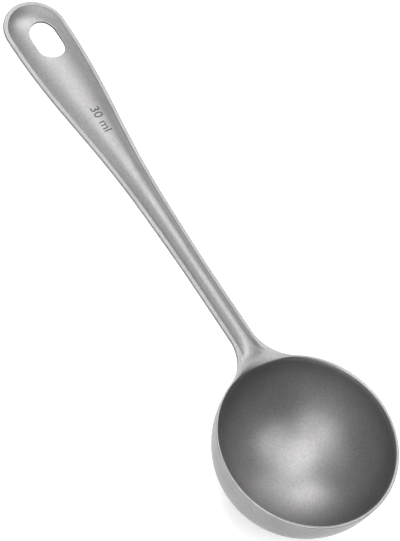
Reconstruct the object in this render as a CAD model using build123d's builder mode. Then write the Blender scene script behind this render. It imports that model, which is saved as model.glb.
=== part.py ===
"""Long-handled measuring scoop, pressed in one piece from titanium sheet.

A deep round bowl and a stiff, gently drooping handle are one unbroken sheet. The handle is a
raised arch with a narrow flat border on both sides and round the tip, and it is hollow below.
A slot with round ends goes through the arch near the tip, to hang the scoop up.

Units are millimetres. The origin is the centre of the bowl's rim, with the rim's top face in
the XY plane and +Z up. The handle runs towards +X, and the scoop is the same on both sides of
the XZ plane.
"""
import math
import os

from build123d import *

os.makedirs("parts", exist_ok=True)

# Sheet that bowl and handle are pressed from
sheet = 0.85
edge_round = 0.25

# Bowl
rim_diameter = 49.0
rim_inner_round = 0.75
rim_outer_round = 0.15
rim_flare = 0.2
rim_flare_height = 0.9
straight_wall = 1.5
bowl_depth = 25.8

# Handle, with its reach from the middle of the bowl to the tip
handle_reach = 142.85
handle_droop = 3.75
border_width = 1.1
waist_width = 6.9
paddle_width = 17.74
neck_round = 12.5

# Arch pressed up between the borders
waist_arch = 1.32
paddle_arch = 2.35
arch_growth_power = 0.6
under_corner = 0.35

# Hanging slot, with its setback from the tip to the middle of the slot
slot_width = 7.7
slot_length = 11.3
slot_setback = 13.6
slot_edge_round = 0.15

# One overrun serves all the cuts
overrun = 2.0

# Where the handle widens from waist to paddle: place as a share of the way from the rim to
# the middle of the round tip, and share of the growth in width reached there
swell_shares = (
    (0.23, 0.0),
    (0.325, 0.022),
    (0.42, 0.075),
    (0.51, 0.15),
    (0.6, 0.292),
    (0.69, 0.5),
    (0.78, 0.735),
    (0.86, 0.9),
    (0.93, 0.985),
    (1.0, 1.0),
)
# Where the arch rises out of the neck: place as a share of the first stretch above, then
# half width and height as shares of the arch at the waist
rise_shares = (
    (0.06, 1.85, 0.02),
    (0.11, 1.45, 0.36),
    (0.195, 1.17, 0.76),
    (0.375, 1.03, 0.985),
)
# Where the arch's sides turn into its crown, as a share of its half width
shoulder_share = 0.394

rim_radius = rim_diameter / 2
wall_radius = rim_radius - rim_flare
inner_radius = wall_radius - sheet
mouth_radius = inner_radius + rim_inner_round
rim_land = rim_radius - rim_outer_round
round_depth = bowl_depth - straight_wall
inner_depth = round_depth - sheet
waist_half = waist_width / 2
paddle_half = paddle_width / 2
arch_waist_half = waist_half - border_width
droop = math.radians(handle_droop)
handle_length = (handle_reach - rim_radius) / math.cos(droop)
tip_centre = handle_length - paddle_half

handle_plane = Plane(
    origin=(rim_radius, 0, 0),
    x_dir=(math.cos(droop), 0, -math.sin(droop)),
    z_dir=(math.sin(droop), 0, math.cos(droop)),
)
handle_normal = Axis(handle_plane.origin, handle_plane.z_dir)


def swell_width(growth):
    """Half width over the borders where the width has grown by this share."""
    return waist_half + (paddle_half - waist_half) * growth


border_sides = [(place * tip_centre, swell_width(growth)) for place, growth in swell_shares]

# Rounded inner corner where the neck runs into the bowl, touching the bowl's outer wall
neck_across = waist_half + neck_round
neck_along = math.sqrt((wall_radius + neck_round) ** 2 - neck_across**2)
neck_angle = math.atan2(neck_across, neck_along)
neck_lean = math.degrees(neck_angle)
neck_centre = (neck_along - rim_radius, neck_across)
neck_start = (
    wall_radius * math.cos(neck_angle) - rim_radius,
    wall_radius * math.sin(neck_angle),
)


def arch_stations():
    """Place, half width and height of the arch at each station along the handle."""
    first_stretch = swell_shares[0][0] * tip_centre
    rows = []
    for place, wide, high in rise_shares:
        rows.append((place * first_stretch, wide * arch_waist_half, high * waist_arch))
    for place, growth in swell_shares:
        height = waist_arch + (paddle_arch - waist_arch) * growth**arch_growth_power
        rows.append((place * tip_centre, swell_width(growth) - border_width, height))
    return rows


def station_plane(place, drop):
    """The plane across the handle at one place, lowered by the drop."""
    origin = handle_plane.from_local_coords((place, 0, -drop))
    return Plane(origin=origin, x_dir=handle_plane.y_dir, z_dir=handle_plane.x_dir)


def arch_section(plane, half_width, height, skirt):
    """A face across the arch, closed by a skirt below the border."""
    shoulder = shoulder_share * half_width
    pull = height * 4 / 3
    with BuildSketch(plane) as face:
        with BuildLine():
            Bezier((-half_width, 0), (-shoulder, pull), (shoulder, pull), (half_width, 0))
            Line((half_width, 0), (half_width, -skirt))
            Line((half_width, -skirt), (-half_width, -skirt))
            Line((-half_width, -skirt), (-half_width, 0))
        make_face()
    return face.sketch


def dome_section(plane, half_width, height, skirt):
    """Half of the same face, to turn about its middle."""
    crown = (1 + shoulder_share) / 4 * half_width
    pull = height * 2 / 3
    with BuildSketch(plane) as face:
        with BuildLine():
            Bezier((0, height), (crown, height), (2 * crown, pull), (half_width, 0))
            Polyline((half_width, 0), (half_width, -skirt), (0, -skirt), (0, height))
        make_face()
    return face.sketch


def arch_body(inset, drop, skirt):
    """The solid under an arch surface, drawn in and lowered, with a domed end at the tip."""
    rows = arch_stations()
    sections = []
    for place, half_width, height in rows:
        plane = station_plane(place, drop)
        sections.append(arch_section(plane, half_width - inset, height, skirt))
    end_place, end_half_width, end_height = rows[-1]
    end_plane = station_plane(end_place, drop)
    turn_axis = Axis(end_plane.origin, handle_plane.z_dir)
    with BuildPart() as arch:
        loft(sections)
        dome = dome_section(end_plane, end_half_width - inset, end_height, skirt)
        revolve(dome, axis=turn_axis)
    return arch.part


# Flat sheet of neck and borders, sloping down from the rim to the tip
with BuildPart() as border_sheet:
    with BuildSketch(handle_plane):
        with BuildLine():
            Line((neck_start[0], 0), neck_start)
            CenterArc(neck_centre, neck_round, 180 + neck_lean, 90 - neck_lean)
            Spline((neck_centre[0], waist_half), *border_sides, tangents=[(1, 0), (1, 0)])
            CenterArc((tip_centre, 0), paddle_half, 0, 90)
            mirror(about=Plane.XZ)
        make_face()
    extrude(amount=-sheet)
    flat_faces = border_sheet.faces().filter_by(handle_normal)
    outline_edges = flat_faces.edges().filter_by(Axis.Y, reverse=True)
    fillet(outline_edges, radius=edge_round)
    with BuildSketch(Plane.XY):
        with Locations((rim_radius, 0)):
            Rectangle(rim_radius, rim_diameter, align=(Align.MAX, Align.CENTER))
    extrude(amount=overrun, mode=Mode.SUBTRACT)

def round_bottom(radius, depth):
    """Exact quarter ellipse from the straight wall down to the lowest point of the bowl."""
    side = (radius, -straight_wall)
    corner = (radius, -straight_wall - depth)
    lowest = (0, -straight_wall - depth)
    return Bezier(side, corner, lowest, weights=[1, math.sqrt(0.5), 1])


# Bowl as a filled body of revolution: a flared rim, a short straight wall and a round bottom
with BuildPart() as bowl_body:
    with BuildSketch(Plane.XZ):
        with BuildLine():
            Line((0, 0), (rim_land, 0))
            RadiusArc((rim_land, 0), (rim_radius, -rim_outer_round), rim_outer_round)
            Line((rim_radius, -rim_outer_round), (wall_radius, -rim_flare_height))
            Line((wall_radius, -rim_flare_height), (wall_radius, -straight_wall))
            round_bottom(wall_radius, round_depth)
            Line((0, -bowl_depth), (0, 0))
        make_face()
    revolve(axis=Axis.Z)

# Space inside the bowl, with the rounded inner edge of the rim
with BuildPart() as bowl_space:
    with BuildSketch(Plane.XZ):
        with BuildLine():
            Line((0, overrun), (mouth_radius, overrun))
            Line((mouth_radius, overrun), (mouth_radius, 0))
            RadiusArc((mouth_radius, 0), (inner_radius, -rim_inner_round), -rim_inner_round)
            Line((inner_radius, -rim_inner_round), (inner_radius, -straight_wall))
            round_bottom(inner_radius, inner_depth)
            Line((0, -straight_wall - inner_depth), (0, overrun))
        make_face()
    revolve(axis=Axis.Z)

arch_top = arch_body(0, 0, sheet / 2)
arch_hollow = arch_body(under_corner, sheet, overrun)

with BuildPart() as spoon:
    add(bowl_body.part)
    add(border_sheet.part)
    add(arch_top)
    add(arch_hollow, mode=Mode.SUBTRACT)
    add(bowl_space.part, mode=Mode.SUBTRACT)
    with BuildSketch(handle_plane):
        with Locations((handle_length - slot_setback, 0)):
            SlotOverall(slot_length, slot_width)
    extrude(amount=paddle_arch + overrun, both=True, mode=Mode.SUBTRACT)
    slot_edges = spoon.edges(Select.NEW).filter_by(handle_normal, reverse=True)
    fillet(slot_edges, radius=slot_edge_round)

spoon.part.label = "spoon"
export_step(spoon.part, "parts/spoon.step")
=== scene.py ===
"""Looks of a pressed titanium measuring scoop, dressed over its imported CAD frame.

The scoop is one sheet: a deep round bowl, a neck and a drooping handle whose middle is pressed
up into an arch between two flat borders. Lengths are metres. The origin is the middle of the
rim, the rim's top face is the XY plane, and the handle runs towards +X.
"""

import math

import bmesh
import bpy
import numpy as np
from bpy.props import FloatProperty, FloatVectorProperty, PointerProperty, StringProperty
from mathutils import Matrix, Vector


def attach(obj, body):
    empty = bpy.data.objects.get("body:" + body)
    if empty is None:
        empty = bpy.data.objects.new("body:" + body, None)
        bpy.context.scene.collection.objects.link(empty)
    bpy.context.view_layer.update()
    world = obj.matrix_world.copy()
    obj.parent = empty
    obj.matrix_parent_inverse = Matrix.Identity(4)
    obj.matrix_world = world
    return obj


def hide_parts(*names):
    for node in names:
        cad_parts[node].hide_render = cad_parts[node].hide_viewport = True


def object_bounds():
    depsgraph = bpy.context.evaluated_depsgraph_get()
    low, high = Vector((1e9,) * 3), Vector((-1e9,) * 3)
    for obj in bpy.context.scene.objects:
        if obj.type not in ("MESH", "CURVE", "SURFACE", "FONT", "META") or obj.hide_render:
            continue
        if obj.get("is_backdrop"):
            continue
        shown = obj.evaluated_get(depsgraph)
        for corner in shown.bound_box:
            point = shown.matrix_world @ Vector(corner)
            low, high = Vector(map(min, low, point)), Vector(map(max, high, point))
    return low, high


bl_info = {
    "name": "Measuring scoop",
    "version": (1, 0, 0),
    "blender": (4, 5, 0),
    "location": "3D View > Sidebar > Scoop",
    "description": "Builds a pressed titanium measuring scoop and a plain stage for it",
    "category": "Object",
}

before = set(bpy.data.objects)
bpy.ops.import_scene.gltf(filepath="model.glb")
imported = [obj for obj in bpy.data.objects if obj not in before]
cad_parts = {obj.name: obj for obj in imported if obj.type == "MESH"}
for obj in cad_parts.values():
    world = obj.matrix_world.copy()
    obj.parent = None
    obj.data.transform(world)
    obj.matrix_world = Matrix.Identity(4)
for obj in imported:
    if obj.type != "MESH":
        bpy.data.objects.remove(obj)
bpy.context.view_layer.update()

MM = 0.001

# Growth of the handle from waist to paddle: place as a share of the way from the rim to the
# middle of the round tip, and share of the growth in width reached there
SWELL = (
    (0.23, 0.0),
    (0.325, 0.022),
    (0.42, 0.075),
    (0.51, 0.15),
    (0.6, 0.292),
    (0.69, 0.5),
    (0.78, 0.735),
    (0.86, 0.9),
    (0.93, 0.985),
    (1.0, 1.0),
)
# Where the arch rises out of the neck: distance from the rim, half width and height as shares
# of the arch at the waist
NECK_RISE = (
    (0.2 * MM, 1.9, 0.0),
    (1.5 * MM, 1.85, 0.03),
    (2.8 * MM, 1.45, 0.36),
    (4.9 * MM, 1.17, 0.76),
    (9.5 * MM, 1.03, 0.985),
    (14.0 * MM, 1.004, 0.998),
    (20.0 * MM, 1.0, 1.0),
)
# How fast the arch grows with the width, and where its sides turn into its crown, as a share
# of its half width
ARCH_GROWTH_POWER = 0.6
SHOULDER_SHARE = 0.394
# How far the hollow is drawn in from the foot of the arch, and how soft the crease there is
UNDER_CORNER = 0.35 * MM
CREASE_SOFTNESS = 0.15 * MM
# Half the length of the soft bend where the handle leaves the plane of the rim
BEND_REACH = 1.5 * MM

# Neck: share of its angle where the rim is drawn out, round of the corner below it at its
# middle and at its ends, and length over which its rows take up the handle's columns
NECK_SECTOR = 0.8
NECK_FILLET = 2.0 * MM
LEAST_FILLET = 0.05 * MM
NECK_BLEND = 1.3 * MM
# Powers by which the neck's rows gather at the rim, move to the waist and bend to the outline,
# and the share of its arc over which the rim's edge turns into the handle's
GATHER_POWER = 1.15
MOVE_POWER = 1.5
PULL_POWER = 2.5
EDGE_TURN_SHARE = 0.7
# Rounds in which the foot of the arch is found on a row, and its limit as a share of the row
FOOT_ROUNDS = 30
FOOT_LIMIT = 0.9

# Inner edge of the rim: angles from the handle where it starts to be deeper and where it is
# deepest, how much shallower it is at the neck, the shares of the neck's angle where that
# ends and is full, and how much deeper it is for its extra width
DRAW_ANGLES = (math.radians(150), math.radians(60))
NECK_SHALLOW = 0.85
SHALLOW_SHARES = (0.966, 0.62)
EXTRA_DEPTH = 0.1

# Rounds of the sheet's edge along the handle and outside the rim, and height of the rim's
# flare, with the places of its rows as parts of the last
EDGE_ROUND = 0.25 * MM
RIM_OUTER_ROUND = 0.15 * MM
FLARE_HEIGHT = 0.9 * MM
FLARE_PARTS = (4, 8, 11, 13, 15)
# Tint of each row of the sheet's edge, from the top down, round the rim and along the handle:
# above 0 lighter, below 0 darker; and the same for the bowl's outer wall. The lighter rows on
# top are partly real rubbing and partly painted highlight on the rounds. The darker rows are
# painted shade: a dark line just outside the rim's top, the edge's face and its shaded lower
# edge, and the whole outer wall of the bowl.
RIM_WEAR_AND_PAINTED_LIGHT = (1.0, 0.3, -0.5, -0.6, -0.3, -0.2, -0.2, -0.2, -0.2, -0.2)
HANDLE_WEAR_AND_PAINTED_LIGHT = (0.1, -0.25, -0.6, -0.5, -0.1, 0.0, -0.3, -0.8, -1.0, -1.0)
OUTER_PAINTED_SHADE = -0.2
# Upper edge of the slot: turn of its round in degrees and its tint, a painted highlight on
# the round and painted shade where it turns into the wall; the lower edge has one tint
SLOT_EDGE = ((30, 0.5), (60, 0.6), (75, 0.0), (90, -1.0))
# Painted shade: the slot's cut wall and its lower edge are darkened to a quarter of the colour
CUT_PAINTED_SHADE = -1.0

# Columns across half of the handle
ARCH_COLUMNS = 12
CREASE_OFFSETS = (0.15 * MM, 0.075 * MM, 0.0)
BORDER_SHARES = (0.09, 0.18, 0.36, 0.68, 1.0)
HALF_COLUMNS = ARCH_COLUMNS + len(CREASE_OFFSETS) + len(BORDER_SHARES)
# Rows along the neck, along the handle, beside the slot and round the tip and the rim
NECK_ROWS = 24
HANDLE_ROWS = 74
SIDE_ROWS = 12
TIP_STEPS = 44
RIM_STEPS = 160
# Steps round the sheet's corners and the rim's inner edge, rings of the bowl, and places of
# the rings between the foot of the arch and the slot
CORNER_STEPS = 4
INNER_EDGE_STEPS = 12
BOWL_RINGS = 34
SLOT_RING_SHARES = (0.12, 0.25, 0.39, 0.53, 0.67, 0.79, 0.89, 0.955, 1.0)
# The long rows end this far before the slot, and its rings meet them up to this angle
SLOT_CLEARANCE = 2.8 * MM
SLOT_CORNER = math.radians(135)

# The mark: its place as a share of the handle's reach, its thickness, and the height that it
# is dropped from and the length of its way down
MARK_PLACE = 0.72
MARK_THICKNESS = 0.02 * MM
DROP_HEIGHT = 0.02
DROP_LENGTH = 0.1

# Soft boxes round the scoop: name, compass angle, height angle, size and power
LIGHT_TARGET = Vector((0.05, 0.0, -0.005))
LIGHT_DISTANCE = 1.2
SIDE_LIGHTS = (
    ("near_low", 140, 8, (0.9, 0.4), 2.5),
    ("near_middle", 115, 31, (1.1, 0.7), 7.2),
    ("near_high", 108, 60, (0.8, 0.7), 5.6),
    ("tip_side", 348, 47, (0.8, 0.6), 7.4),
    ("far_high", 292, 47, (0.8, 0.6), 3.9),
    ("far_low", 312, 10, (0.9, 0.4), 2.6),
    ("bowl_side", 200, 52, (0.9, 0.6), 4.0),
    ("handle_side", 60, 35, (0.7, 0.5), 1.3),
)
# The one overhead: compass angle, height angle, distance and size
OVERHEAD = (125, 90, 1.3, (0.8, 0.8))
# Half the width of the floor
FLOOR_REACH = 3.0

# The camera looks down at this point, with its compass angle, height angle and roll in degrees
CAMERA_TARGET = Vector((0.04962, 0.00694, 0.01159))
CAMERA_DISTANCE = 1.4
CAMERA_BEARING = 119.255
CAMERA_HEIGHT = 57.492
CAMERA_ROLL = 32.813


def length(name, description, default):
    """A size in metres that the panel shows as a length."""
    return FloatProperty(name=name, description=description, default=default, unit="LENGTH")


def amount(name, description, default):
    """A plain number of at least 0."""
    return FloatProperty(name=name, description=description, default=default, min=0.0)


def colour(name, description, default):
    """A colour that the panel shows as a swatch."""
    return FloatVectorProperty(
        name=name,
        description=description,
        subtype="COLOR",
        size=3,
        min=0.0,
        max=1.0,
        default=default,
    )


class ScoopSizes(bpy.types.PropertyGroup):
    """Sizes of the sheet, the bowl, the handle and the slot"""

    rim_diameter: length("Rim diameter", "Across the outside of the rim", 0.049)
    rim_flare: length("Rim flare", "How far the rim stands out beyond the bowl's wall", 0.0002)
    rim_round: length("Rim round", "Radius of the rim's inner edge", 0.00075)
    rim_draw: length("Rim draw", "Extra depth of that edge on the handle's side", 0.0012)
    neck_draw: length("Neck draw", "Extra width of that edge at the neck", 0.0028)
    straight_wall: length("Straight wall", "Height of the straight part of the wall", 0.0015)
    bowl_depth: length("Bowl depth", "From the rim to the lowest point outside", 0.0258)
    sheet: length("Sheet", "Thickness of the sheet", 0.00085)
    handle_reach: length("Handle reach", "From the middle of the bowl to the tip", 0.14285)
    droop: FloatProperty(
        name="Droop",
        description="Slope of the handle below the plane of the rim",
        default=math.radians(3.75),
        subtype="ANGLE",
    )
    neck_round: length("Neck round", "Radius of the corners between neck and rim", 0.012)
    waist_width: length("Waist width", "Narrowest width of the handle", 0.0069)
    paddle_width: length("Paddle width", "Widest width of the handle, at the tip", 0.01774)
    border_width: length("Border width", "Width of the flat border beside the arch", 0.0011)
    waist_arch: length("Arch at the waist", "Height above its borders at the waist", 0.00132)
    paddle_arch: length("Arch at the paddle", "Height above its borders there", 0.00235)
    slot_width: length("Slot width", "Width of the slot in the paddle", 0.0077)
    slot_length: length("Slot length", "Length of the slot along the handle", 0.0113)
    slot_setback: length("Slot setback", "From the tip to the middle of the slot", 0.0136)
    slot_round: length("Slot edge round", "Radius of the slot's edges", 0.00015)


class ScoopFinish(bpy.types.PropertyGroup):
    """Colours and grain of the metal, and the mark on it"""

    metal: colour("Titanium", "Colour of the blasted titanium", (0.273, 0.268, 0.27))
    roughness: amount("Roughness", "Mean roughness of the blasted surface", 0.44)
    grain: length("Blast grain", "Size of the pits that blasting leaves", 0.00014)
    clouds: length("Clouds", "Size of the faint clouds of tone", 0.009)
    mark: colour("Mark colour", "Colour of the burnt measure mark", (0.07, 0.07, 0.075))
    mark_words: StringProperty(name="Measure", description="What the mark says", default="30 ml")
    mark_height: length("Mark height", "Letter size of the mark", 0.0036)


class ScoopStage(bpy.types.PropertyGroup):
    """Floor, lights and lens"""

    floor: colour("Floor", "Colour of the plain floor", (0.86, 0.86, 0.86))
    glow: amount("Floor glow", "Strength of the floor's own even light", 0.3)
    sky: amount("Room light", "Strength of the even light from all round", 0.02)
    overhead: amount("Overhead light", "Power of the soft light above", 8.0)
    sides: amount("Side lights", "Power of the lights round the scoop, as a factor", 1.0)
    focal_length: amount("Focal length", "Of the camera, in millimetres", 494.9)


def smoothstep(value, start, stop):
    """Soft step from 0 where the value is at the start to 1 at the stop."""
    share = min(max((value - start) / (stop - start), 0.0), 1.0)
    return share * share * (3.0 - 2.0 * share)


class SmoothCurve:
    """Natural cubic curve through points, flat beyond both ends."""

    def __init__(self, places, values):
        self.places = np.array(places, float)
        self.values = np.array(values, float)
        count = len(self.places)
        gaps = np.diff(self.places)
        slopes = np.diff(self.values) / gaps
        matrix = np.eye(count)
        target = np.zeros(count)
        for row in range(1, count - 1):
            matrix[row, row - 1] = gaps[row - 1]
            matrix[row, row] = 2.0 * (gaps[row - 1] + gaps[row])
            matrix[row, row + 1] = gaps[row]
            target[row] = 6.0 * (slopes[row] - slopes[row - 1])
        self.curvature = np.linalg.solve(matrix, target)

    def __call__(self, place):
        place = np.clip(place, self.places[0], self.places[-1])
        right = np.clip(np.searchsorted(self.places, place), 1, len(self.places) - 1)
        left = right - 1
        gap = self.places[right] - self.places[left]
        to_right = self.places[right] - place
        to_left = place - self.places[left]
        bend_left = self.curvature[left]
        bend_right = self.curvature[right]
        cubic = (bend_left * to_right**3 + bend_right * to_left**3) / (6.0 * gap)
        from_left = (self.values[left] / gap - bend_left * gap / 6.0) * to_right
        from_right = (self.values[right] / gap - bend_right * gap / 6.0) * to_left
        return cubic + from_left + from_right


class HandleForm:
    """Outline and arch of the handle on the flat blank, before it is pressed and bent."""

    def __init__(self, sizes):
        self.rim = sizes.rim_diameter / 2.0
        self.border = sizes.border_width
        self.waist = sizes.waist_width / 2.0
        self.paddle = sizes.paddle_width / 2.0
        self.tip = self.rim + (sizes.handle_reach - self.rim) / math.cos(sizes.droop)
        self.tip_centre = self.tip - self.paddle
        self.slot_centre = self.tip - sizes.slot_setback
        self.slot_radius = sizes.slot_width / 2.0
        self.slot_straight = (sizes.slot_length - sizes.slot_width) / 2.0
        self.slot_round = sizes.slot_round
        slot_reach = self.slot_straight + self.slot_radius
        self.slot_start = self.slot_centre - slot_reach - SLOT_CLEARANCE

        self.neck_round = sizes.neck_round
        self.neck_y = self.waist + self.neck_round
        self.neck_x = math.sqrt((self.rim + self.neck_round) ** 2 - self.neck_y**2)
        self.neck_angle = math.atan2(self.neck_y, self.neck_x)

        reach = self.tip_centre - self.rim
        growth = self.paddle - self.waist
        places = [self.rim + share * reach for share, _ in SWELL]
        widths = [self.waist + growth * share for _, share in SWELL]
        steady = [self.neck_x, (self.neck_x + places[0]) / 2.0]
        self.side = SmoothCurve(steady + places, [self.waist, self.waist] + widths)

        arch_half = self.waist - self.border
        neck_places = [self.rim + place for place, _, _ in NECK_RISE]
        neck_widths = [share * arch_half for _, share, _ in NECK_RISE]
        arch_widths = [width - self.border for width in widths]
        self.arch = SmoothCurve(neck_places + places, neck_widths + arch_widths)

        rises = [share for _, _, share in NECK_RISE]
        self.rise = SmoothCurve(neck_places + places[:1], rises + [1.0])
        powers = [share**ARCH_GROWTH_POWER for _, share in SWELL]
        self.growth = SmoothCurve(places, powers)

        # Half of the curve across the arch, from its crown to its foot
        turn = np.linspace(0.5, 1.0, 4001)
        inside = -((1 - turn) ** 3) - 3 * SHOULDER_SHARE * (1 - turn) ** 2 * turn
        outside = 3 * SHOULDER_SHARE * (1 - turn) * turn**2 + turn**3
        self.profile_x = inside + outside
        self.profile_z = 4.0 * turn * (1.0 - turn)

    def section(self, across, half_width):
        """Height of the arch as a share of its crown, with a soft crease at the border."""
        soft = CREASE_SOFTNESS
        across = np.abs(across)
        height = np.interp(across / half_width, self.profile_x, self.profile_z)
        edge = np.interp((half_width - soft) / half_width, self.profile_x, self.profile_z)
        inside = half_width - across
        crease = edge * (inside + soft) ** 2 / (4.0 * soft * soft)
        height = np.where(inside < soft, crease, height)
        return np.where(inside < -soft, 0.0, height)

    def shares(self, x, y, inset):
        """Shares of the waist's and the paddle's arch height at points of the blank."""
        beyond = x > self.tip_centre
        across = np.where(beyond, np.hypot(x - self.tip_centre, y), np.abs(y))
        half_width = self.arch(x) - inset
        profile = self.section(across, half_width)
        rise = np.where(x < self.rim + NECK_RISE[0][0], 0.0, np.maximum(self.rise(x), 0.0))
        growth = np.clip(self.growth(x), 0.0, 1.0)
        return profile * rise * (1.0 - growth), profile * rise * growth

    def columns(self, crease, edge):
        """Places across half of the handle, from the middle to the start of its edge."""
        inner = crease - 2.0 * CREASE_OFFSETS[0]
        places = [inner * step / ARCH_COLUMNS for step in range(ARCH_COLUMNS + 1)]
        places += [crease - offset for offset in CREASE_OFFSETS]
        places += [crease + share * (edge - crease) for share in BORDER_SHARES]
        return places


class Blank:
    """Points and faces of the sheet, with the layer of each point and its tint: rubbing and painted
    highlight above 0, painted shade below 0.
    """

    def __init__(self):
        self.points = []
        self.layers = []
        self.wear_and_painted_light = []
        self.faces = []

    def point(self, x, y, z, layer=0, wear_and_painted_light=0.0):
        """Adds a point, in layer 1 on top or 2 below where it is pressed; returns its number."""
        self.points.append((float(x), float(y), float(z)))
        self.layers.append(layer)
        self.wear_and_painted_light.append(wear_and_painted_light)
        return len(self.points) - 1

    def strip(self, first, second, closed=False):
        """Joins two rows of the same length with four-sided faces."""
        count = len(first)
        for index in range(count if closed else count - 1):
            after = (index + 1) % count
            self.faces.append((first[index], first[after], second[after], second[index]))

    def weave(self, rows):
        """Joins each row to the next one."""
        for first, second in zip(rows, rows[1:]):
            self.strip(first, second)


def outline_stations(form):
    """Stations round the blank's outline: point, outward normal and share of handle edge."""
    rows = []
    first = form.neck_angle
    arc = math.pi / 2 - first
    for row in range(NECK_ROWS + 1):
        angle = first + arc * (row / NECK_ROWS) ** GATHER_POWER
        normal = (math.cos(angle), math.sin(angle))
        x = form.neck_x - form.neck_round * normal[0]
        y = form.neck_y - form.neck_round * normal[1]
        blend = smoothstep(angle - first, 0.0, EDGE_TURN_SHARE * arc)
        rows.append(((x, y), normal, blend))
    run = form.slot_start - form.neck_x
    for row in range(1, HANDLE_ROWS + 1):
        rows.append(side_station(form, form.neck_x + run * row / HANDLE_ROWS))
    sides = []
    run = form.tip_centre - form.slot_start
    for row in range(1, SIDE_ROWS + 1):
        sides.append(side_station(form, form.slot_start + run * row / SIDE_ROWS))
    tip = round_end(form.tip_centre, form.paddle)
    rim = []
    for step in range(1, RIM_STEPS):
        angle = -first - 2 * (math.pi - first) * step / RIM_STEPS
        rim.append(round_station(0.0, form.rim, angle, 0.0))
    return rows, sides, tip, rim


def side_station(form, x):
    """Station on the long side of the handle."""
    step = 0.05 * MM
    slope = float(form.side(x + step) - form.side(x - step)) / (2 * step)
    size = math.hypot(1.0, slope)
    return (x, float(form.side(x))), (-slope / size, 1.0 / size), 1.0


def round_station(centre, radius, angle, blend):
    """Station on a circle whose middle lies on the X axis."""
    normal = (math.cos(angle), math.sin(angle))
    return (centre + radius * normal[0], radius * normal[1]), normal, blend


def round_end(centre, radius):
    """Stations round the half of a circle that faces the tip, without its two ends."""
    angles = [math.pi / 2 - math.pi * step / TIP_STEPS for step in range(1, TIP_STEPS)]
    return [round_station(centre, radius, angle, 1.0) for angle in angles]


def mirrored(stations):
    """The same stations on the other side of the handle, in reverse order."""
    result = []
    for (x, y), (normal_x, normal_y), blend in reversed(stations):
        result.append(((x, -y), (normal_x, -normal_y), blend))
    return result


def edge_profiles(sizes):
    """Inset and depth down the sheet's edge, round the rim and along the handle."""

    def corner(radius):
        places = []
        for step in range(CORNER_STEPS + 1):
            turn = math.pi / 2 * step / CORNER_STEPS
            places.append((radius * (1.0 - math.sin(turn)), radius * (1.0 - math.cos(turn))))
        return places

    rim = corner(RIM_OUTER_ROUND)
    for part in FLARE_PARTS:
        share = part / FLARE_PARTS[-1]
        depth = RIM_OUTER_ROUND + (FLARE_HEIGHT - RIM_OUTER_ROUND) * share
        rim.append((sizes.rim_flare * share, depth))
    upper = corner(EDGE_ROUND)
    lower = [(inset, sizes.sheet - depth) for inset, depth in reversed(upper)]
    return rim, upper + lower


def edge_band(blank, sizes, stations):
    """Rounded edge of the sheet: for each station, its points from the top face down."""
    rim, handle = edge_profiles(sizes)
    band = []
    for point, normal, blend in stations:
        column = []
        # Each row of the edge gets its tint: lighter with rubbing and painted highlight, or darker
        # with painted shade
        for low, high, low_wear_and_light, high_wear_and_light in zip(rim, handle, RIM_WEAR_AND_PAINTED_LIGHT, HANDLE_WEAR_AND_PAINTED_LIGHT):
            inset = low[0] + (high[0] - low[0]) * blend
            depth = low[1] + (high[1] - low[1]) * blend
            wear_and_painted_light = low_wear_and_light + (high_wear_and_light - low_wear_and_light) * blend
            x = point[0] - inset * normal[0]
            y = point[1] - inset * normal[1]
            column.append(blank.point(x, y, -depth, wear_and_painted_light=wear_and_painted_light))
        band.append(column)
    blank.weave(band + band[:1])
    return band


def slot_stations(form):
    """Stations on the wall of the slot, one for each point of the loop outside."""
    near = form.slot_centre - form.slot_straight
    far = form.slot_centre + form.slot_straight
    radius = form.slot_radius
    stations = []
    for step in range(2 * ARCH_COLUMNS + 1):
        way = step / (2 * ARCH_COLUMNS)
        angle = 2 * math.pi - SLOT_CORNER + (2 * SLOT_CORNER - 2 * math.pi) * way
        stations.append(round_station(near, radius, angle, 1.0))
    arc = radius * (SLOT_CORNER - math.pi / 2)
    run = arc + 2 * form.slot_straight
    side = []
    for step in range(1, SIDE_ROWS + 1):
        way = run * step / SIDE_ROWS
        if way < arc:
            side.append(round_station(near, radius, SLOT_CORNER - way / radius, 1.0))
        else:
            side.append(((near + way - arc, radius), (0.0, 1.0), 1.0))
    stations += side + round_end(far, radius)
    return stations + mirrored(side)


def neck_sector(form, angle):
    """Share of the rim's full draw at an angle from the middle of the neck."""
    return max(1.0 - (angle / (NECK_SECTOR * form.neck_angle)) ** 2, 0.0) ** 2


def under_fillet(form, wall, x, y):
    """How far the inner corner below the neck reaches down at one place."""
    radius = NECK_FILLET * neck_sector(form, math.atan2(abs(y), x)) + LEAST_FILLET
    away = max(math.hypot(x, y) - wall, 0.0)
    if away >= radius:
        return 0.0
    return radius - math.sqrt(radius**2 - (radius - away) ** 2)


def neck_row(form, ring, edge, row, inset):
    """Plan places of one row between the ring, the neck's outline and the waist.

    The row starts with the ring's curve and straightens on its way to the waist, and its
    columns move to where the arch has them.
    """
    points = np.array(ring)
    way = (row / NECK_ROWS) ** MOVE_POWER
    middle = points[0, 0] + (form.neck_x - points[0, 0]) * way
    share = points[:, 1] / points[-1, 1]
    pull = share**PULL_POWER
    curve_x = points[:, 0] - (1.0 - pull) * points[0, 0] - pull * points[-1, 0]
    curve_y = points[:, 1] - pull * points[-1, 1]
    row_x = (1.0 - way) * curve_x + (1.0 - pull) * middle + pull * edge[0]
    row_y = (1.0 - way) * curve_y + way * (share - pull) * form.waist + pull * edge[1]

    def x_at(y):
        return float(np.interp(y, row_y, row_x))

    # The arch is as wide as its place along the handle says, and that changes along the row
    foot = float(form.arch(middle)) - inset
    for _ in range(FOOT_ROUNDS):
        foot = (foot + float(form.arch(x_at(foot))) - inset) / 2.0
    laid = form.columns(min(foot, FOOT_LIMIT * edge[1]), edge[1])
    blend = smoothstep(middle - points[0, 0], 0.0, NECK_BLEND)
    places = []
    for even, place in zip(row_y, laid):
        y = (1.0 - blend) * even + blend * place
        places.append((x_at(y), y))
    return places


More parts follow.
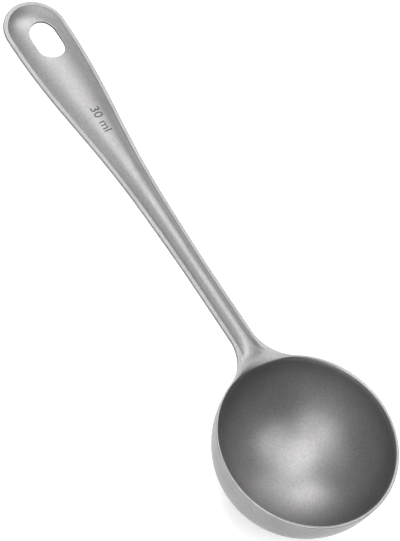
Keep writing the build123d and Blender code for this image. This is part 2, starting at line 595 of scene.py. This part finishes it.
class SheetFace:
    """Top or underside of the neck and handle, laid out from the bowl to the slot."""

    def __init__(self, blank, form, sizes, top):
        self.blank = blank
        self.form = form
        self.sizes = sizes
        self.top = top
        self.layer = 1 if top else 2
        self.inset = 0.0 if top else UNDER_CORNER
        self.z = 0.0 if top else -sizes.sheet
        self.wall = form.rim - sizes.rim_flare

    def place(self, x, y, lift=0.0, wear_and_painted_light=0.0):
        """A point on this face, or a little off it."""
        return self.blank.point(x, y, self.z + lift, self.layer, wear_and_painted_light)

    def columns(self, number):
        """Places across half of the handle, as far as one point of its edge."""
        x, y, _ = self.blank.points[number]
        return self.form.columns(float(self.form.arch(x)) - self.inset, abs(y))

    def neck_ring(self):
        """Half of the loop where the neck meets the bowl, from its middle."""
        land = self.wall - self.sizes.sheet + self.sizes.rim_round + RIM_OUTER_ROUND
        half = []
        for column in range(HALF_COLUMNS):
            angle = self.form.neck_angle * column / HALF_COLUMNS
            drawn = neck_sector(self.form, angle)
            if self.top:
                radius = land + self.sizes.neck_draw * drawn
                z = self.z
            else:
                radius = self.wall
                z = self.z - NECK_FILLET * drawn - LEAST_FILLET
            half.append((radius * math.cos(angle), radius * math.sin(angle), z))
        return half

    def long_rows(self, plus, minus):
        """Rows across the neck and the handle, as far as the slot."""
        start = self.neck_ring()
        ring = [place[:2] for place in start] + [self.blank.points[plus[0]][:2]]
        grid = []
        for row, number in enumerate(plus):
            edge = self.blank.points[number]
            # Painted shade: the underside's first row, where the bowl's outer wall starts, is
            # tinted darker
            wear_and_painted_light = OUTER_PAINTED_SHADE if row == 0 and not self.top else 0.0
            if row == 0:
                half = start
            elif row <= NECK_ROWS:
                half = []
                for x, y in neck_row(self.form, ring, edge, row, self.inset)[:-1]:
                    fillet = 0.0 if self.top else under_fillet(self.form, self.wall, x, y)
                    half.append((x, y, self.z - fillet))
            else:
                half = [(edge[0], y, self.z) for y in self.columns(number)[:-1]]
            right = [self.blank.point(x, y, z, self.layer, wear_and_painted_light) for x, y, z in half]
            left = [self.blank.point(x, -y, z, self.layer, wear_and_painted_light) for x, y, z in half[1:]]
            grid.append([minus[row]] + left[::-1] + right + [number])
        self.blank.weave(grid)
        return grid

    def side_rows(self, numbers):
        """Rows from the foot of the arch to these points of the edge beside the slot."""
        rows = []
        for number in numbers:
            x, y, _ = self.blank.points[number]
            laid = self.columns(number)[ARCH_COLUMNS:-1]
            rows.append([self.place(x, math.copysign(across, y)) for across in laid] + [number])
        return rows

    def tip_rows(self, end, sides, tip, left_sides):
        """Border, crease and foot of the arch as one strip round the tip."""
        rows = [end[HALF_COLUMNS + ARCH_COLUMNS :]] + self.side_rows(sides)
        centre = self.form.tip_centre
        crease = float(self.form.arch(centre)) - self.inset
        for number in tip:
            x, y, _ = self.blank.points[number]
            angle = math.atan2(y, x - centre)
            laid = self.form.columns(crease, math.hypot(y, x - centre))[ARCH_COLUMNS:-1]
            row = [self.place(centre + r * math.cos(angle), r * math.sin(angle)) for r in laid]
            rows.append(row + [number])
        rows += self.side_rows(left_sides)
        rows.append(end[: HALF_COLUMNS - ARCH_COLUMNS + 1][::-1])
        self.blank.weave(rows)
        return rows

    def slot_rings(self, loop):
        """Rings from the foot of the arch to the slot, and half of the slot's rounded edge."""
        stations = slot_stations(self.form)
        outer = np.array([self.blank.points[number][:2] for number in loop])
        wall = np.array([point for point, _, _ in stations])
        normals = np.array([normal for _, normal, _ in stations])
        inner = wall + self.form.slot_round * normals
        rings = [(outer + (inner - outer) * share, 0.0, 0.0) for share in SLOT_RING_SHARES]
        # The upper edge's round gets a painted highlight and painted shade where it meets the wall;
        # underneath, the lower edge gets painted shade
        for angle, wear_and_painted_light in SLOT_EDGE:
            turn = math.radians(angle)
            offset = self.form.slot_round * (1.0 - math.sin(turn))
            drop = self.form.slot_round * (1.0 - math.cos(turn))
            wear_and_painted_light = wear_and_painted_light if self.top else CUT_PAINTED_SHADE
            rings.append((wall + offset * normals, -drop if self.top else drop, wear_and_painted_light))
        previous = loop
        for places, lift, wear_and_painted_light in rings:
            ring = [self.place(x, y, lift, wear_and_painted_light) for x, y in places]
            self.blank.strip(previous, ring, closed=True)
            previous = ring
        return previous

    def lay(self, plus, minus, sides, tip, left_sides):
        """Lays the whole face; returns its loops at the bowl and at the slot."""
        grid = self.long_rows(plus, minus)
        end = grid[-1]
        strip = self.tip_rows(end, sides, tip, left_sides)
        cross = end[HALF_COLUMNS - ARCH_COLUMNS : HALF_COLUMNS + ARCH_COLUMNS + 1]
        return grid[0], self.slot_rings(cross + [row[0] for row in strip[1:-1]])


def ring_angles(blank, ring):
    """Compass angle of each point of a ring round the bowl."""
    return [math.atan2(blank.points[number][1], blank.points[number][0]) for number in ring]


def bowl_inside(blank, form, sizes, ring):
    """Rounded inner edge of the rim, drawn wider and deeper towards the neck, and the bowl."""
    inner = form.rim - sizes.rim_flare - sizes.sheet
    bottom = sizes.bowl_depth - sizes.straight_wall - sizes.sheet
    edges = []
    starts = []
    for number, angle in zip(ring, ring_angles(blank, ring)):
        x, y, _ = blank.points[number]
        width = math.hypot(x, y) - inner - RIM_OUTER_ROUND
        drawn = smoothstep(abs(angle), *DRAW_ANGLES)
        shallow = NECK_SHALLOW * smoothstep(abs(angle) / form.neck_angle, *SHALLOW_SHARES)
        depth = sizes.rim_round + sizes.rim_draw * drawn * (1.0 - shallow)
        depth += EXTRA_DEPTH * (width - sizes.rim_round)
        edges.append((angle, width, depth))
        starts.append(math.asin(max(depth - sizes.straight_wall, 0.0) / bottom))
    previous = ring
    for step in range(INNER_EDGE_STEPS + 1):
        turn = math.pi / 2 * step / INNER_EDGE_STEPS
        row = []
        for angle, width, depth in edges:
            z = -depth * (1.0 - math.cos(turn))
            below = max(-z - sizes.straight_wall, 0.0)
            wall = inner * math.sqrt(1.0 - (below / bottom) ** 2)
            out = wall + width * (1.0 - math.sin(turn))
            row.append(blank.point(out * math.cos(angle), out * math.sin(angle), z, 1))
        blank.strip(previous, row, closed=True)
        previous = row
    round_bowl(blank, previous, inner, sizes.straight_wall, bottom, starts, 0.0)


def bowl_outside(blank, form, sizes, ring):
    """Outer wall of the bowl below the rim and the neck."""
    wall = form.rim - sizes.rim_flare
    depth = sizes.bowl_depth - sizes.straight_wall
    # The rings start a little below the corner under the neck
    starts = [math.asin(0.5 * NECK_FILLET / depth)] * len(ring)
    # Painted shade: the whole outer wall is tinted darker
    round_bowl(blank, ring, wall, sizes.straight_wall, depth, starts, OUTER_PAINTED_SHADE)


def round_bowl(blank, ring, radius, straight, depth, starts, wear_and_painted_light):
    """Rings of a quarter ellipse down to the lowest point of the bowl."""
    angles = ring_angles(blank, ring)
    previous = ring
    for step in range(1, BOWL_RINGS):
        row = []
        for angle, start in zip(angles, starts):
            turn = start + (math.pi / 2 - start) * step / BOWL_RINGS
            out = radius * math.cos(turn)
            z = -straight - depth * math.sin(turn)
            x = out * math.cos(angle)
            row.append(blank.point(x, out * math.sin(angle), z, wear_and_painted_light=wear_and_painted_light))
        blank.strip(previous, row, closed=True)
        previous = row
    lowest = blank.point(0.0, 0.0, -straight - depth, wear_and_painted_light=wear_and_painted_light)
    for first, second in zip(previous, previous[1:] + previous[:1]):
        blank.faces.append((first, second, lowest))


def lay_out(form, sizes):
    """Points and faces of the unpressed scoop."""
    blank = Blank()
    rows, sides, tip, rim = outline_stations(form)
    groups = (rows, sides, tip, mirrored(sides), mirrored(rows), rim)
    band = iter(edge_band(blank, sizes, sum(groups, [])))
    parts = [[next(band) for _ in group] for group in groups]
    rings = []
    slots = []
    for level, top in ((0, True), (-1, False)):
        edges = [[column[level] for column in part] for part in parts]
        right, side, end, left_side, left, back = edges
        face = SheetFace(blank, form, sizes, top)
        ring, slot = face.lay(right, left[::-1], side, end, left_side)
        # The ring goes on from the +Y end of the neck round the back of the rim
        rings.append(ring + back[::-1])
        slots.append(slot)
    blank.strip(slots[0], slots[1], closed=True)
    bowl_inside(blank, form, sizes, rings[0])
    bowl_outside(blank, form, sizes, rings[1])
    return blank


def press_numbers(form, blank):
    """Numbers on the points that the press and the metal read."""
    points = np.array(blank.points)
    layers = np.array(blank.layers)
    waist = np.zeros(len(points))
    paddle = np.zeros(len(points))
    for layer, inset in ((1, 0.0), (2, UNDER_CORNER)):
        chosen = layers == layer
        shares = form.shares(points[chosen, 0], points[chosen, 1], inset)
        waist[chosen], paddle[chosen] = shares
    beyond = points[:, 0] - form.rim
    turn = np.clip((beyond + BEND_REACH) / (2.0 * BEND_REACH), 0.0, 1.0)
    eased = (beyond + BEND_REACH) ** 2 / (4.0 * BEND_REACH)
    lever = np.where(beyond > BEND_REACH, beyond, np.where(turn > 0.0, eased, 0.0))
    return {
        "waist_share": waist,
        "paddle_share": paddle,
        "lever": lever,
        "turn": turn,
        "wear_and_painted_light": np.array(blank.wear_and_painted_light),
    }


def build_blank(sizes):
    """Mesh of the unpressed scoop, which the press then raises and bends."""
    form = HandleForm(sizes)
    blank = lay_out(form, sizes)
    mesh = bpy.data.meshes.new("spoon_blank")
    mesh.from_pydata(blank.points, [], blank.faces)
    for name, values in press_numbers(form, blank).items():
        data = mesh.attributes.new(name, "FLOAT", "POINT").data
        data.foreach_set("value", values.astype(np.float32))
    shape = bmesh.new()
    shape.from_mesh(mesh)
    bmesh.ops.recalc_face_normals(shape, faces=shape.faces)
    shape.to_mesh(mesh)
    shape.free()
    mesh.polygons.foreach_set("use_smooth", [True] * len(mesh.polygons))
    mesh.update()
    return mesh


def add_node(tree, kind, inputs=None, **settings):
    """A node with these settings, whose inputs are fed by sockets or plain values."""
    node = tree.nodes.new(kind)
    for name, value in settings.items():
        setattr(node, name, value)
    for label, value in (inputs or {}).items():
        if isinstance(value, bpy.types.NodeSocket):
            tree.links.new(value, node.inputs[label])
        else:
            node.inputs[label].default_value = value
    return node


def math_node(tree, operation, *values):
    """A Math node fed by sockets or numbers; returns its output."""
    return add_node(tree, "ShaderNodeMath", dict(enumerate(values)), operation=operation).outputs[0]


def named_number(tree, name):
    """Reads a number stored on the points; returns its output."""
    node = add_node(tree, "GeometryNodeInputNamedAttribute", {"Name": name}, data_type="FLOAT")
    return node.outputs["Attribute"]


def split_position(tree):
    """The three parts of a point's place."""
    position = add_node(tree, "GeometryNodeInputPosition").outputs[0]
    return add_node(tree, "ShaderNodeSeparateXYZ", {0: position}).outputs


def new_tree(name, inputs):
    """A geometry node tree with these inputs; returns it and the outputs of its start node."""
    tree = bpy.data.node_groups.new(name, "GeometryNodeTree")
    tree.interface.new_socket("Geometry", in_out="OUTPUT", socket_type="NodeSocketGeometry")
    for label, kind, default in (("Geometry", "Geometry", None), *inputs):
        socket = tree.interface.new_socket(label, in_out="INPUT", socket_type="NodeSocket" + kind)
        if default is not None:
            socket.default_value = default
    return tree, add_node(tree, "NodeGroupInput").outputs


def close_tree(tree, geometry, place, material):
    """Moves the points to their places and ends the tree in real geometry of one material."""
    moved = add_node(tree, "GeometryNodeSetPosition", {"Geometry": geometry, "Position": place})
    real = add_node(tree, "GeometryNodeRealizeInstances", {0: moved.outputs[0]}).outputs[0]
    coat = add_node(tree, "GeometryNodeSetMaterial", {"Geometry": real, "Material": material})
    add_node(tree, "NodeGroupOutput", {0: coat.outputs[0]})


def press_tree():
    """Nodes that press the arch up out of the blank and bend the handle down at the rim."""
    inputs = (
        ("Waist arch", "Float", 0.001),
        ("Paddle arch", "Float", 0.002),
        ("Droop", "Float", 0.05),
        ("Metal", "Material", None),
    )
    tree, given = new_tree("Press the handle", inputs)
    parts = split_position(tree)

    def times(first, second):
        return math_node(tree, "MULTIPLY", first, second)

    waist = times(named_number(tree, "waist_share"), given["Waist arch"])
    paddle = times(named_number(tree, "paddle_share"), given["Paddle arch"])
    arch = math_node(tree, "ADD", waist, paddle)
    raised = math_node(tree, "ADD", arch, parts["Z"])

    # The blank bends softly near the rim and is straight beyond it
    slope = times(named_number(tree, "turn"), given["Droop"])
    lever = named_number(tree, "lever")
    sine = math_node(tree, "SINE", given["Droop"])
    cosine = math_node(tree, "COSINE", given["Droop"])
    back = times(lever, math_node(tree, "SUBTRACT", 1.0, cosine))
    lean = times(raised, math_node(tree, "SINE", slope))
    moved_x = math_node(tree, "ADD", math_node(tree, "SUBTRACT", parts["X"], back), lean)
    stood = times(raised, math_node(tree, "COSINE", slope))
    moved_z = math_node(tree, "SUBTRACT", stood, times(lever, sine))
    moved = {"X": moved_x, "Y": parts["Y"], "Z": moved_z}
    place = add_node(tree, "ShaderNodeCombineXYZ", moved).outputs[0]
    close_tree(tree, given["Geometry"], place, given["Metal"])
    return tree


def set_input(modifier, name, value):
    """Sets a modifier's input by the identifier of the socket with this name."""
    for item in modifier.node_group.interface.items_tree:
        if item.item_type == "SOCKET" and item.in_out == "INPUT" and item.name == name:
            modifier[item.identifier] = value
            return
    raise RuntimeError("there is no input named " + name)


def run_tree(name, mesh, tree, values):
    """Runs a node tree on a mesh and returns a new object with the plain result."""
    source = bpy.data.objects.new(name + "_source", mesh)
    bpy.context.scene.collection.objects.link(source)
    modifier = source.modifiers.new("Nodes", "NODES")
    modifier.node_group = tree
    for key, value in values.items():
        set_input(modifier, key, value)
    graph = bpy.context.evaluated_depsgraph_get()
    graph.update()
    result = bpy.data.meshes.new_from_object(source.evaluated_get(graph))
    result.name = name
    bpy.data.objects.remove(source)
    piece = bpy.data.objects.new(name, result)
    bpy.context.scene.collection.objects.link(piece)
    return piece


class MetalNodes:
    """A new metal material, with short ways to add its nodes."""

    def __init__(self, name):
        self.material = bpy.data.materials.new(name)
        self.material.use_nodes = True
        self.tree = self.material.node_tree
        self.tree.nodes.clear()
        self.coordinates = add_node(self.tree, "ShaderNodeTexCoord").outputs["Object"]

    def noise(self, size, detail):
        """Noise of this size in metres."""
        inputs = {"Vector": self.coordinates, "Scale": 1.0 / size, "Detail": detail}
        return add_node(self.tree, "ShaderNodeTexNoise", inputs).outputs["Fac"]

    def spread(self, value, low, high, start=0.3, stop=0.7):
        """The value brought from one range to another, and kept within it."""
        ends = {"Value": value, "From Min": start, "From Max": stop, "To Min": low, "To Max": high}
        return add_node(self.tree, "ShaderNodeMapRange", ends).outputs[0]

    def product(self, factors):
        """The factors multiplied with each other."""
        result = factors[0]
        for factor in factors[1:]:
            result = math_node(self.tree, "MULTIPLY", result, factor)
        return result

    def tint(self, shade, factors):
        """The colour times the product of the factors."""
        inputs = {"Factor": 1.0, "A": (*shade, 1.0), "B": self.product(factors)}
        settings = {"data_type": "RGBA", "blend_type": "MULTIPLY", "clamp_result": False}
        return add_node(self.tree, "ShaderNodeMix", inputs, **settings).outputs["Result"]

    def bump(self, height, strength, depth, before=None):
        """Small pits, on top of an earlier normal if there is one."""
        inputs = {"Height": height, "Strength": strength, "Distance": depth}
        if before is not None:
            inputs["Normal"] = before
        return add_node(self.tree, "ShaderNodeBump", inputs).outputs[0]

    def close(self, tone, roughness, normal):
        """Ends the material in a metal with these three inputs."""
        inputs = {"Metallic": 1.0, "Base Color": tone, "Roughness": roughness, "Normal": normal}
        shader = add_node(self.tree, "ShaderNodeBsdfPrincipled", inputs)
        add_node(self.tree, "ShaderNodeOutputMaterial", {"Surface": shader.outputs[0]})
        return self.material


def titanium(finish):
    """Bead-blasted titanium: fine pits, faint clouds of tone, edges rubbed lighter with painted
    highlight, and painted shade on the slot's wall, the edge's lower side and the bowl's outer
    wall.
    """
    metal = MetalNodes("blasted_titanium")
    wear_and_painted_light = add_node(metal.tree, "ShaderNodeAttribute", attribute_name="wear_and_painted_light").outputs["Fac"]
    pits = metal.noise(finish.grain, 2.0)
    specks = metal.noise(3.0 * finish.grain, 2.0)
    clouds = metal.noise(finish.clouds, 3.0)
    tones = (
        metal.spread(clouds, 0.95, 1.04),
        metal.spread(specks, 0.88, 1.12),
        # Lighter by up to a quarter: partly real rubbing, partly painted highlight on the edge
        # rounds
        metal.spread(wear_and_painted_light, 1.0, 1.25, 0.0, 1.0),
        # Painted shade: darker down to a quarter of the colour where the attribute is below 0
        metal.spread(wear_and_painted_light, 0.25, 1.0, -1.0, 0.0),
    )
    matte = metal.spread(clouds, finish.roughness + 0.03, finish.roughness - 0.03)
    rough = metal.product((matte, metal.spread(wear_and_painted_light, 1.0, 0.8, 0.0, 1.0)))
    # Pits of two sizes, as beads of mixed size leave them
    fine = metal.bump(pits, 0.3, 0.02 * MM)
    coarse = metal.bump(specks, 0.25, 0.03 * MM, fine)
    return metal.close(metal.tint(finish.metal, tones), rough, coarse)


def burnt_mark(finish):
    """Dark surface left where a laser has marked the metal, with a little of the grain in it."""
    metal = MetalNodes("burnt_mark")
    specks = metal.noise(3.0 * finish.grain, 2.0)
    patches = metal.noise(1.5 * MM, 2.0)
    tones = (metal.spread(specks, 0.8, 1.25), metal.spread(patches, 0.9, 1.1))
    tone = metal.tint(finish.mark, tones)
    return metal.close(tone, metal.spread(specks, 0.68, 0.56), metal.bump(specks, 0.3, 0.02 * MM))


def laying_tree():
    """Nodes that drop a thin flat mark straight down onto the piece below it."""
    inputs = (
        ("Carrier", "Object", None),
        ("Splits", "Int", 3),
        ("Height above", "Float", DROP_HEIGHT),
        ("Mark material", "Material", None),
    )
    tree, given = new_tree("Lay a mark on the arch", inputs)
    corners = add_node(tree, "GeometryNodeTriangulate", {0: given["Geometry"]}).outputs[0]
    split = {"Mesh": corners, "Level": given["Splits"]}
    finer = add_node(tree, "GeometryNodeSubdivideMesh", split).outputs[0]
    seen = {"Object": given["Carrier"]}
    carrier = add_node(tree, "GeometryNodeObjectInfo", seen, transform_space="RELATIVE")

    parts = split_position(tree)
    start = {"X": parts["X"], "Y": parts["Y"], "Z": given["Height above"]}
    ray = {
        "Target Geometry": carrier.outputs["Geometry"],
        "Source Position": add_node(tree, "ShaderNodeCombineXYZ", start).outputs[0],
        "Ray Direction": (0.0, 0.0, -1.0),
        "Ray Length": DROP_LENGTH,
    }
    hit = add_node(tree, "GeometryNodeRaycast", ray).outputs["Hit Position"]
    lift = add_node(tree, "ShaderNodeCombineXYZ", {"Z": parts["Z"]}).outputs[0]
    place = add_node(tree, "ShaderNodeVectorMath", {0: hit, 1: lift}, operation="ADD").outputs[0]
    close_tree(tree, finer, place, given["Mark material"])
    return tree


def word_mesh(words, height, thickness, place, turn):
    """Flat mesh of plain words, with their middle at a place and turned about Z."""
    curve = bpy.data.curves.new("words", "FONT")
    curve.body = words
    curve.size = height
    curve.extrude = thickness / 2.0
    curve.align_x = "CENTER"
    curve.align_y = "CENTER"
    source = bpy.data.objects.new("words", curve)
    bpy.context.scene.collection.objects.link(source)
    graph = bpy.context.evaluated_depsgraph_get()
    graph.update()
    mesh = bpy.data.meshes.new_from_object(source.evaluated_get(graph))
    bpy.data.objects.remove(source)
    mesh.transform(Matrix.Translation(place) @ Matrix.Rotation(turn, 4, "Z"))
    return mesh


class SCOOP_OT_spoon(bpy.types.Operator):
    """Builds the one-piece scoop: bowl, neck and handle"""

    bl_idname = "scoop.spoon"
    bl_label = "Build the scoop"

    def execute(self, context):
        sizes = context.scene.scoop_sizes
        metal = titanium(context.scene.scoop_finish)
        values = {
            "Waist arch": sizes.waist_arch,
            "Paddle arch": sizes.paddle_arch,
            "Droop": sizes.droop,
            "Metal": metal,
        }
        piece = run_tree("spoon_sheet", build_blank(sizes), press_tree(), values)
        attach(piece, "root")
        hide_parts("spoon")
        return {"FINISHED"}


class SCOOP_OT_mark(bpy.types.Operator):
    """Marks the plain measure on the crown of the handle"""

    bl_idname = "scoop.mark"
    bl_label = "Mark the measure"

    def execute(self, context):
        finish = context.scene.scoop_finish
        sizes = context.scene.scoop_sizes
        place = Vector((MARK_PLACE * sizes.handle_reach, 0.0, 0.0))
        flat = word_mesh(finish.mark_words, finish.mark_height, MARK_THICKNESS, place, math.pi)
        values = {
            "Carrier": bpy.data.objects["spoon_sheet"],
            "Mark material": burnt_mark(finish),
        }
        piece = run_tree("measure_mark", flat, laying_tree(), values)
        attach(piece, "root")
        return {"FINISHED"}


def soft_light(name, bearing, height, distance, size, power):
    """A soft box that looks at the middle of the scoop, placed by compass angle and height."""
    data = bpy.data.lights.new(name, "AREA")
    data.shape = "RECTANGLE"
    data.size, data.size_y = size
    data.energy = power
    turn = math.radians(bearing)
    rise = math.radians(height)
    way = Vector((math.cos(rise) * math.cos(turn), math.cos(rise) * math.sin(turn), math.sin(rise)))
    light = bpy.data.objects.new(name, data)
    light.location = LIGHT_TARGET + way * distance
    # A light straight above has no side to look from, so only its turn is set
    if height == 90:
        light.rotation_euler = (0.0, 0.0, turn - math.pi / 2)
    else:
        light.rotation_euler = (-way).to_track_quat("-Z", "Y").to_euler()
    bpy.context.scene.collection.objects.link(light)


def plain_floor(stage, height):
    """Wide pale floor at this height."""
    mesh = bpy.data.meshes.new("floor")
    signs = ((-1, -1), (1, -1), (1, 1), (-1, 1))
    corners = [(FLOOR_REACH * x, FLOOR_REACH * y, height) for x, y in signs]
    mesh.from_pydata(corners, [], [(0, 1, 2, 3)])
    floor = bpy.data.objects.new("floor", mesh)
    bpy.context.scene.collection.objects.link(floor)
    paint = bpy.data.materials.new("plain_floor")
    paint.use_nodes = True
    shader = paint.node_tree.nodes["Principled BSDF"]
    shader.inputs["Base Color"].default_value = (*stage.floor, 1.0)
    shader.inputs["Roughness"].default_value = 0.9
    shader.inputs["Specular IOR Level"].default_value = 0.1
    shader.inputs["Emission Color"].default_value = (1.0, 1.0, 1.0, 1.0)
    shader.inputs["Emission Strength"].default_value = stage.glow
    mesh.materials.append(paint)
    floor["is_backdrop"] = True


def room_light(strength):
    """Even white light from all round."""
    world = bpy.data.worlds.new("studio")
    world.use_nodes = True
    ground = world.node_tree.nodes["Background"]
    ground.inputs["Color"].default_value = (1.0, 1.0, 1.0, 1.0)
    ground.inputs["Strength"].default_value = strength
    bpy.context.scene.world = world


def add_camera(focal_length):
    """Camera that looks down on the scoop, with the handle's tip farthest up in the picture."""
    turned = Matrix.Rotation(math.radians(CAMERA_BEARING + 90), 4, "Z")
    turned @= Matrix.Rotation(math.radians(90 - CAMERA_HEIGHT), 4, "X")
    turned @= Matrix.Rotation(math.radians(CAMERA_ROLL), 4, "Z")
    backward = turned.to_3x3() @ Vector((0.0, 0.0, 1.0))
    data = bpy.data.cameras.new("camera")
    data.sensor_fit = "HORIZONTAL"
    data.sensor_width = 36.0
    data.lens = focal_length
    data.clip_start = 0.05
    data.clip_end = 20.0
    camera = bpy.data.objects.new("camera", data)
    place = CAMERA_TARGET + backward * CAMERA_DISTANCE
    camera.matrix_world = Matrix.Translation(place) @ turned
    bpy.context.scene.collection.objects.link(camera)
    bpy.context.scene.camera = camera


class SCOOP_OT_stage(bpy.types.Operator):
    """Adds the plain floor, the soft lights and the camera"""

    bl_idname = "scoop.stage"
    bl_label = "Set the stage"

    def execute(self, context):
        stage = context.scene.scoop_stage
        plain_floor(stage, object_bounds()[0].z)
        room_light(stage.sky)
        soft_light("overhead", *OVERHEAD, stage.overhead)
        for name, bearing, height, size, power in SIDE_LIGHTS:
            soft_light(name, bearing, height, LIGHT_DISTANCE, size, power * stage.sides)
        context.scene.view_settings.view_transform = "Standard"
        add_camera(stage.focal_length)
        return {"FINISHED"}


class SCOOP_PT_panel(bpy.types.Panel):
    """Lists the sizes, the finish and the building steps"""

    bl_idname = "SCOOP_PT_panel"
    bl_label = "Measuring scoop"
    bl_space_type = "VIEW_3D"
    bl_region_type = "UI"
    bl_category = "Scoop"

    def draw(self, context):
        layout = self.layout
        scene = context.scene
        for group in (scene.scoop_sizes, scene.scoop_finish, scene.scoop_stage):
            box = layout.box()
            for name in group.__annotations__:
                box.prop(group, name)
        for step in STEPS:
            layout.operator(step.bl_idname)


GROUPS = (ScoopSizes, ScoopFinish, ScoopStage)
STEPS = (SCOOP_OT_spoon, SCOOP_OT_mark, SCOOP_OT_stage)


def register():
    """Registers the classes and hangs the settings on the scene."""
    for item in (*GROUPS, *STEPS, SCOOP_PT_panel):
        bpy.utils.register_class(item)
    bpy.types.Scene.scoop_sizes = PointerProperty(type=ScoopSizes)
    bpy.types.Scene.scoop_finish = PointerProperty(type=ScoopFinish)
    bpy.types.Scene.scoop_stage = PointerProperty(type=ScoopStage)


def unregister():
    """Takes the settings and the classes away again."""
    del bpy.types.Scene.scoop_stage
    del bpy.types.Scene.scoop_finish
    del bpy.types.Scene.scoop_sizes
    for item in reversed((*GROUPS, *STEPS, SCOOP_PT_panel)):
        bpy.utils.unregister_class(item)


def main():
    """Builds everything in order."""
    register()
    bpy.ops.scoop.spoon()
    bpy.ops.scoop.mark()
    bpy.ops.scoop.stage()


if __name__ == "__main__":
    main()
